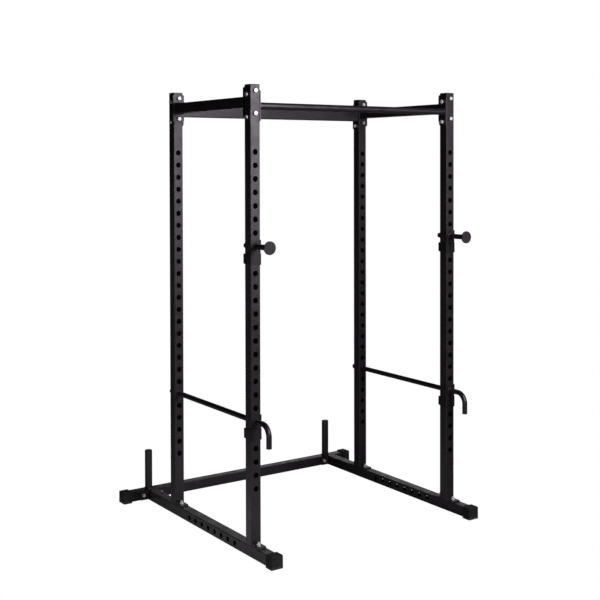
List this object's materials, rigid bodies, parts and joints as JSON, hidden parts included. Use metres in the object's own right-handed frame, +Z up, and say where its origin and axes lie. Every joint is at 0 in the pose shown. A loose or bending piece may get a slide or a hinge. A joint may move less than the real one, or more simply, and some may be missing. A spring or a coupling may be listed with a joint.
{
  "type": "power cage",
  "caption": "Free-standing square-tube power cage with drilled uprights, pull-up bar, pull-out bar hooks, pull-out safety bars, rear plate pegs and rubber boots.",
  "frame": {"origin": "on the floor, under the middle of the whole cage's box, soles of the boots at z = 0", "axes": "+Z up along the uprights; +X from the left uprights to the right ones as seen from the front; the front, where the bar hooks are, faces -Y"},
  "size_m": [1.452, 1.2559, 2.11],
  "materials": {
    "frame_coat": "semi-gloss black powder coat",
    "bar_coat": "smooth black powder coat",
    "saddle_coat": "semi-gloss black powder coat",
    "hook_disc": "matte dark grey",
    "plastic_cap": "fine grained black",
    "rubber_boot": "moulded matte black",
    "zinc_fastener": "bright zinc plate"
  },
  "bodies": {
    "cage": {"base_crossmember": "frame_coat", "base_rail_left": "frame_coat", "base_rail_right": "frame_coat", "boot_front_left": "rubber_boot", "boot_front_right": "rubber_boot", "boot_rear_left": "rubber_boot", "boot_rear_right": "rubber_boot", "cross_bar_bolts": "zinc_fastener", "cross_bar_nuts": "zinc_fastener", "cross_bar_washers": "zinc_fastener", "plate_peg_cap_left": "plastic_cap", "plate_peg_cap_right": "plastic_cap", "plate_peg_left": "frame_coat", "plate_peg_right": "frame_coat", "pull_up_bar": "bar_coat", "rail_end_bolts": "zinc_fastener", "rail_end_nuts": "zinc_fastener", "rail_end_washers": "zinc_fastener", "rear_top_crossmember": "frame_coat", "side_beam_bolts": "zinc_fastener", "side_beam_left": "frame_coat", "side_beam_nuts": "zinc_fastener", "side_beam_right": "frame_coat", "side_beam_washers": "zinc_fastener", "upright_cap_front_left": "plastic_cap", "upright_cap_front_right": "plastic_cap", "upright_cap_rear_left": "plastic_cap", "upright_cap_rear_right": "plastic_cap", "upright_foot_bolts": "zinc_fastener", "upright_foot_nuts": "zinc_fastener", "upright_foot_washers": "zinc_fastener", "upright_front_left": "frame_coat", "upright_front_right": "frame_coat", "upright_rear_left": "frame_coat", "upright_rear_right": "frame_coat"},
    "bar_hook_left": {"hook_pin_left": "bar_coat", "hook_disc_left": "hook_disc", "hook_saddle_left": "saddle_coat"},
    "safety_left": {"safety_bar_left": "bar_coat", "safety_saddle_left": "saddle_coat", "safety_front_plug_left": "plastic_cap", "safety_rear_plug_left": "plastic_cap"},
    "bar_hook_right": {"hook_pin_right": "bar_coat", "hook_disc_right": "hook_disc", "hook_saddle_right": "saddle_coat"},
    "safety_right": {"safety_bar_right": "bar_coat", "safety_saddle_right": "saddle_coat", "safety_front_plug_right": "plastic_cap", "safety_rear_plug_right": "plastic_cap"}
  },
  "joints": [
    {"name": "bar_hook_left_pull", "type": "slide", "parent": "cage", "child": "bar_hook_left", "axis": [0, -1, 0], "range_m": [0, 0.11]},
    {"name": "safety_left_pull", "type": "slide", "parent": "cage", "child": "safety_left", "axis": [0, -1, 0], "range_m": [0, 0.82]},
    {"name": "bar_hook_right_pull", "type": "slide", "parent": "cage", "child": "bar_hook_right", "axis": [0, -1, 0], "range_m": [0, 0.11]},
    {"name": "safety_right_pull", "type": "slide", "parent": "cage", "child": "safety_right", "axis": [0, -1, 0], "range_m": [0, 0.82]}
  ]
}
